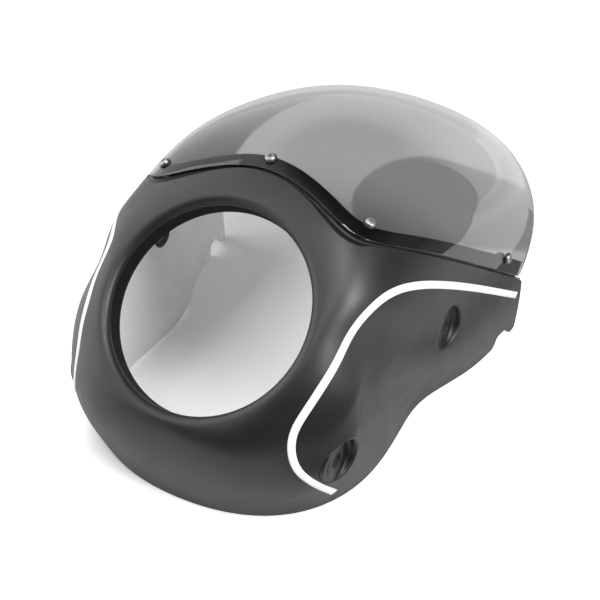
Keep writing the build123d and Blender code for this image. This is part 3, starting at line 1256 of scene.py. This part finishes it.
@dataclass
class BorderStripe:
    """White film stripe round each cheek, along a smooth path in the side view."""

    skin: Skin
    pose: Pose
    width: float = 6.8
    lift: float = 0.35
    samples: int = 260
    section: tuple[tuple[float, float], ...] = (
        (-1.0, -0.1),
        (-1.0, 0.7),
        (-0.5, 1.0),
        (0.0, 1.0),
        (0.5, 1.0),
        (1.0, 0.7),
        (1.0, -0.1),
    )
    stops: tuple[tuple[float, float], ...] = (
        (279.0, 142.8),
        (185.0, 118.9),
        (104.0, 95.4),
        (61.8, 78.9),
        (28.6, 54.4),
        (18.0, 32.3),
        (14.6, 4.6),
        (11.4, -22.7),
        (12.1, -49.9),
        (18.4, -76.1),
        (39.9, -96.4),
        (63.2, -101.9),
        (106.0, -103.0),
    )
    lead: tuple[tuple[float, float], ...] = (
        (-76.0, 0.0),
        (-50.0, 1.3),
        (-23.0, 4.5),
        (5.0, 6.6),
        (32.0, 12.0),
        (54.0, 10.0),
        (79.0, 4.0),
        (96.0, 0.0),
    )

    def path(self, cheek: Cheek) -> tuple[Array, Array]:
        """Middle line of a stripe in the side view; the left film is laid further forward at the brow.

        Args:
            cheek: Side that the stripe lies on.

        Returns:
            Places along the line, and the direction across it at each.
        """
        stops = np.array(self.stops)
        if cheek is Cheek.LEFT:
            stops[:, 0] -= np.interp(stops[:, 1], *np.array(self.lead).T)
        start, end = unit(stops[1] - stops[0]), unit(stops[-1] - stops[-2])
        path = chord_curve(stops, self.samples, start, end)
        along = np.gradient(path, axis=0)
        along /= np.hypot(*along.T)[:, None]
        return path, np.stack([-along[:, 1], along[:, 0]], -1)

    def build(self, cheek: Cheek) -> bpy.types.Object:
        """Make the stripe of one cheek, in place of its plain node.

        Args:
            cheek: Side that the stripe lies on.

        Returns:
            The stripe.
        """
        path, across = self.path(cheek)
        normal = self.skin.normal(*self.skin.from_side(path))
        slope = np.sum(normal[:, 1:] * across, axis=1) / normal[:, 0]
        half = across * (self.width / 2.0 / np.hypot(1.0, slope))[:, None]
        rows = []
        for offset, lift in self.section:
            turn, back = self.skin.from_side(path + half * offset)
            rows.append(self.skin.under(turn, back, np.full(len(path), -self.lift * lift)))
        points = np.array(rows)
        if cheek is Cheek.LEFT:
            points = points * np.array([-1.0, 1.0, 1.0])
        draft = Draft()
        draft.grid(draft.put(points), 0, cheek is Cheek.RIGHT)
        film = Finish.WHITE_FILM.material()
        piece = draft.build(f"stripe_film_{cheek.value}", self.pose, [film], mirror=False)
        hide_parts(f"side_stripe_{cheek.value}")
        return piece


@dataclass(frozen=True)
class Hardware:
    """Nodes whose solids are shown as they are, with their finishes."""

    finishes: tuple[tuple[str, Finish], ...] = (
        ("screen_screws", Finish.STEEL),
        ("screen_washers", Finish.NYLON),
        ("screen_nuts", Finish.STEEL),
        ("mount_grommet_upper_right", Finish.RUBBER),
        ("mount_grommet_upper_left", Finish.RUBBER),
        ("mount_grommet_lower_right", Finish.RUBBER),
        ("mount_grommet_lower_left", Finish.RUBBER),
    )

    def dress(self) -> list[str]:
        """Give each node its finish.

        Returns:
            The nodes' names.
        """
        for name, finish in self.finishes:
            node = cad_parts[name]
            node.data.materials.clear()
            node.data.materials.append(finish.material())
        return [name for name, _ in self.finishes]


@dataclass(frozen=True)
class SoftBox:
    """Flat soft lamp aimed at a point over the object."""

    name: str
    at: tuple[float, float, float]
    width: float
    height: float
    level: float
    aim: tuple[float, float, float] = (0.0, 0.0, 0.1)

    def build(self) -> None:
        """Make the lamp; its level is the brightness of its face, where 1 is white."""
        data = bpy.data.lights.new(self.name, "AREA")
        data.shape = "RECTANGLE"
        data.size, data.size_y = self.width, self.height
        data.energy = math.pi * self.width * self.height * self.level
        lamp = bpy.data.objects.new(self.name, data)
        lamp.location = self.at
        lamp.rotation_euler = (Vector(self.aim) - lamp.location).to_track_quat("-Z", "Y").to_euler()
        lamp.visible_camera = False
        bpy.context.scene.collection.objects.link(lamp)


@dataclass(frozen=True)
class DarkCard:
    """Black screen of upright panels that only shows in reflections, as a studio's dark end does."""

    name: str
    posts: tuple[tuple[float, float, float, float], ...]

    def build(self, finish: bpy.types.Material) -> None:
        """Make the panels between posts, each given by its place, low end and high end.

        Args:
            finish: Material of the panels.
        """
        low = [(x, y, foot) for x, y, foot, _ in self.posts]
        high = [(x, y, top) for x, y, _, top in self.posts]
        count = len(self.posts)
        mesh = bpy.data.meshes.new(self.name)
        mesh.from_pydata(low + high, [], [(i, i + 1, count + i + 1, count + i) for i in range(count - 1)])
        mesh.materials.append(finish)
        card = bpy.data.objects.new(self.name, mesh)
        card.visible_camera = False
        card.visible_diffuse = False
        card.visible_transmission = False
        card.visible_shadow = False
        bpy.context.scene.collection.objects.link(card)


@dataclass(frozen=True)
class Footprint:
    """Rounded outline round the object on the floor, in metres."""

    front_half: float = 0.138
    rear_half: float = 0.268
    rear_shift: float = 0.06
    rear_y: float = 0.25
    middle_y: float = -0.06
    ahead: float = 0.165
    behind: float = 0.33
    power: float = 3.0

    def away(self, recipe: Recipe, x: Socket, y: Socket) -> Socket:
        """Measure how far a place lies from the outline's middle.

        Args:
            recipe: The floor's material.
            x: The place's X.
            y: The place's Y.

        Returns:
            The measure, which is 1 about the outline.
        """
        work = recipe.calculate
        across = work(Maths.ADD, x, recipe.ramp(y, (0.0, 0.0), (self.rear_y, self.rear_shift)))
        half = recipe.ramp(y, (0.0, self.front_half), (self.rear_y, self.rear_half))
        side = work(Maths.DIVIDE, work(Maths.ABSOLUTE, across), half)
        back = work(Maths.SUBTRACT, y, self.middle_y)
        ahead, behind = work(Maths.DIVIDE, back, -self.ahead), work(Maths.DIVIDE, back, self.behind)
        along = work(Maths.MAXIMUM, ahead, behind)
        return work(Maths.ADD, work(Maths.POWER, side, self.power), work(Maths.POWER, along, self.power))


@dataclass(frozen=True)
class PaintedShadowSpot:
    """Painted shadow on the floor, in metres: a place that has no glow where it shows through the screen."""

    x: float = -0.028
    y: float = 0.335
    left: float = 0.062
    right: float = 0.2
    deep: float = 0.094
    soft: float = 0.07

    def cover(self, recipe: Recipe, x: Socket, y: Socket) -> Socket:
        """Tell whether a place lies in the painted shadow.

        Args:
            recipe: The floor's material.
            x: The place's X.
            y: The place's Y.

        Returns:
            1 within the painted shadow and 0 outside it, with a soft edge.
        """
        work = recipe.calculate
        across = work(Maths.SUBTRACT, x, self.x)
        left, right = work(Maths.DIVIDE, across, -self.left), work(Maths.DIVIDE, across, self.right)
        across = work(Maths.POWER, work(Maths.MAXIMUM, left, right), 2.0)
        down = work(Maths.POWER, work(Maths.DIVIDE, work(Maths.SUBTRACT, y, self.y), self.deep), 2.0)
        away = work(Maths.ADD, across, down)
        return recipe.ramp(away, (1.0 - self.soft, 1.0), (1.0 + self.soft, 0.0))


@dataclass
class Studio:
    """Floor, soft light, dark cards and the camera."""

    floor_size: float = 12.0
    floor_shade: float = 0.9
    # Painted light on the floor: glow by the measure from the footprint, almost none under the object.
    floor_glow: tuple[tuple[float, float], ...] = ((0.8, 0.02), (1.2, 0.5), (40.0, 0.55), (1700.0, 0.95))
    # Painted light on the floor, brighter to the right: X in metres and the glow there.
    painted_floor_light: tuple[tuple[float, float], ...] = ((-0.1, 0.02), (0.0, 0.36))
    floor_mirror: tuple[float, float] = (1.2, 40.0)
    footprint: Footprint = Footprint()
    # Painted shadow on the floor behind the object, which only shows through the screen.
    painted_shadow_spot: PaintedShadowSpot = PaintedShadowSpot()
    sky: float = 0.12
    # Painted reflection: only reflections see the sky darken to this level towards this direction.
    sky_dark: float = 0.1
    sky_dark_towards: tuple[float, float, float] = (0.166, 0.62, 0.766)
    sky_dark_spread: tuple[float, float] = (0.72, 0.93)
    boxes: tuple[SoftBox, ...] = (
        SoftBox("key_box", (1.349, -0.287, 1.157), 0.7, 0.7, 14.0),
        SoftBox("top_box", (0.46, -0.2, 1.72), 0.6, 0.6, 9.0),
        SoftBox("front_box", (0.11, -0.79, 1.5), 0.7, 0.7, 3.5),
        SoftBox("left_box", (-1.05, -0.35, 0.72), 1.5, 1.35, 1.8),
    )
    cards: tuple[DarkCard, ...] = (
        DarkCard(
            "front_card",
            (
                (-0.32, -0.74, 0.004, 0.62),
                (0.14, -0.52, 0.004, 0.58),
                (0.27, -0.36, 0.004, 0.45),
                (0.31, -0.22, 0.004, 0.14),
                (0.33, 0.0, 0.004, 0.05),
            ),
        ),
        DarkCard(
            "right_card",
            (
                (0.17, -0.26, 0.004, 0.04),
                (0.195, -0.15, 0.004, 0.045),
                (0.2, 0.0, 0.004, 0.05),
                (0.215, 0.1, 0.004, 0.052),
                (0.235, 0.2, 0.004, 0.052),
                (0.27, 0.35, 0.004, 0.05),
                (0.3, 0.5, 0.004, 0.04),
            ),
        ),
        DarkCard(
            "rear_card",
            (
                (0.139, 0.682, 0.8, 1.35),
                (0.155, 0.673, 0.579, 1.35),
                (0.187, 0.654, 0.417, 1.35),
                (0.254, 0.615, 0.314, 1.35),
                (0.313, 0.582, 0.25, 1.35),
                (0.377, 0.545, 0.192, 1.35),
                (0.471, 0.49, 0.12, 1.35),
                (0.541, 0.45, 0.025, 1.35),
                (0.9, 0.243, 0.009, 1.35),
            ),
        ),
    )
    camera_at: tuple[float, float, float] = (0.425, -0.7777, 0.74094)
    camera_turn: tuple[float, float, float] = (52.779, -0.046, 28.537)
    camera_lens: float = 68.98
    camera_sensor: float = 36.0
    card_finish: MouldedFinish = MouldedFinish(
        "black_card", (0.004, 0.004, 0.004), (0.006, 0.006, 0.006), (0.9, 1.0)
    )

    def world(self) -> None:
        """White surroundings, softer for what they light than for what they show, with a painted dark end
        that only reflections show.
        """
        world = bpy.data.worlds.new("studio_sky")
        world.use_nodes = True
        wiring = Wiring(world.node_tree)
        towards = wiring.nodes.new("ShaderNodeVectorMath")
        towards.operation = "DOT_PRODUCT"
        towards.inputs[1].default_value = self.sky_dark_towards
        direction = wiring.nodes.new("ShaderNodeTexCoord").outputs["Generated"]
        wiring.links.new(direction, towards.inputs[0])
        near, far = self.sky_dark_spread
        dark = wiring.ramp(towards.outputs["Value"], (near, 1.0), (far, self.sky_dark), soft=True)
        # Painted reflection: only glossy rays see the dark end.
        seen = wiring.choose(wiring.rays()["Is Glossy Ray"], 1.0, dark)
        level = wiring.choose(wiring.shown(), self.sky, seen)
        background = wiring.nodes["Background"]
        background.inputs["Color"].default_value = (1.0, 1.0, 1.0, 1.0)
        wiring.links.new(level, background.inputs["Strength"])
        bpy.context.scene.world = world

    def floor(self) -> None:
        """Pale floor, lit by the lamps and by painted light of its own, that keeps the object's shadow."""
        half = self.floor_size / 2.0
        mesh = bpy.data.meshes.new("studio_floor")
        corners = [(-half, -half, 0.0), (half, -half, 0.0), (half, half, 0.0), (-half, half, 0.0)]
        mesh.from_pydata(corners, [], [(0, 1, 2, 3)])
        recipe = Recipe("pale_floor")
        recipe.plain(Base_Color=(self.floor_shade,) * 3 + (1.0,), Roughness=0.8, Specular_IOR_Level=0.1)
        recipe.plain(Emission_Color=(1.0, 1.0, 1.0, 1.0))
        recipe.drive("Emission Strength", self.glow(recipe))
        mesh.materials.append(recipe.material)
        floor = bpy.data.objects.new("studio_floor", mesh)
        bpy.context.scene.collection.objects.link(floor)

    def glow(self, recipe: Recipe) -> Socket:
        """Painted light on the floor: almost none under the object, so its shadow stays there, and more with
        the distance from it.

        Args:
            recipe: The floor's material.

        Returns:
            The brightness, where 1 is white.
        """
        split = recipe.nodes.new("ShaderNodeSeparateXYZ")
        recipe.links.new(recipe.place, split.inputs[0])
        x, y = split.outputs["X"], split.outputs["Y"]
        work, rays = recipe.calculate, recipe.rays()
        away = self.footprint.away(recipe, x, y)
        # Painted light: the floor is brighter to the right, from X of -0.1 m to 0.
        total = recipe.ramp(x, *self.painted_floor_light)
        for (start, low), (stop, high) in zip(self.floor_glow, self.floor_glow[1:]):
            total = work(Maths.ADD, total, recipe.ramp(away, (start, 0.0), (stop, high - low)))
        # Painted shadow: where the floor shows through the screen, this place has no glow.
        painted_shadow_spot = work(Maths.MULTIPLY, self.painted_shadow_spot.cover(recipe, x, y), rays["Is Transmission Ray"])
        total = work(Maths.MULTIPLY, total, work(Maths.SUBTRACT, 1.0, painted_shadow_spot))
        shown = work(Maths.MAXIMUM, rays["Is Camera Ray"], rays["Is Transmission Ray"])
        # Reflections show the painted light only far from the object.
        near, far = self.floor_mirror
        mirrored = work(Maths.MULTIPLY, rays["Is Glossy Ray"], recipe.ramp(away, (near, 0.0), (far, 1.0)))
        return work(Maths.MULTIPLY, total, work(Maths.MAXIMUM, shown, mirrored))

    def lights(self) -> None:
        """Soft lamps, and the cards that keep reflections dark."""
        for box in self.boxes:
            box.build()
        black = self.card_finish.material()
        for card in self.cards:
            card.build(black)

    def camera(self) -> None:
        """Camera at the photograph's place."""
        data = bpy.data.cameras.new("camera")
        data.lens = self.camera_lens
        data.sensor_width = self.camera_sensor
        camera = bpy.data.objects.new("camera", data)
        camera.location = self.camera_at
        camera.rotation_euler = [math.radians(a) for a in self.camera_turn]
        bpy.context.scene.collection.objects.link(camera)
        bpy.context.scene.camera = camera

    def build(self) -> None:
        """Set up the whole studio."""
        bpy.context.scene.view_settings.view_transform = "Standard"
        self.world()
        self.floor()
        self.lights()
        self.camera()


def main() -> None:
    """Build every piece in order and note the sizes."""
    logging.basicConfig(level=logging.INFO, format="%(name)s: %(message)s")
    skin, pose, foot = Skin(), Pose(), FootLine()
    for piece in (
        CowlShell(skin, pose, foot).build(),
        Windscreen(skin, pose, foot).build(),
        BorderStripe(skin, pose).build(Cheek.RIGHT),
        BorderStripe(skin, pose).build(Cheek.LEFT),
    ):
        LOG.info("%s: %d faces", piece.name, len(piece.data.polygons))
    LOG.info("dressed %s", ", ".join(Hardware().dress()))
    Studio().build()


if __name__ == "__main__":
    main()
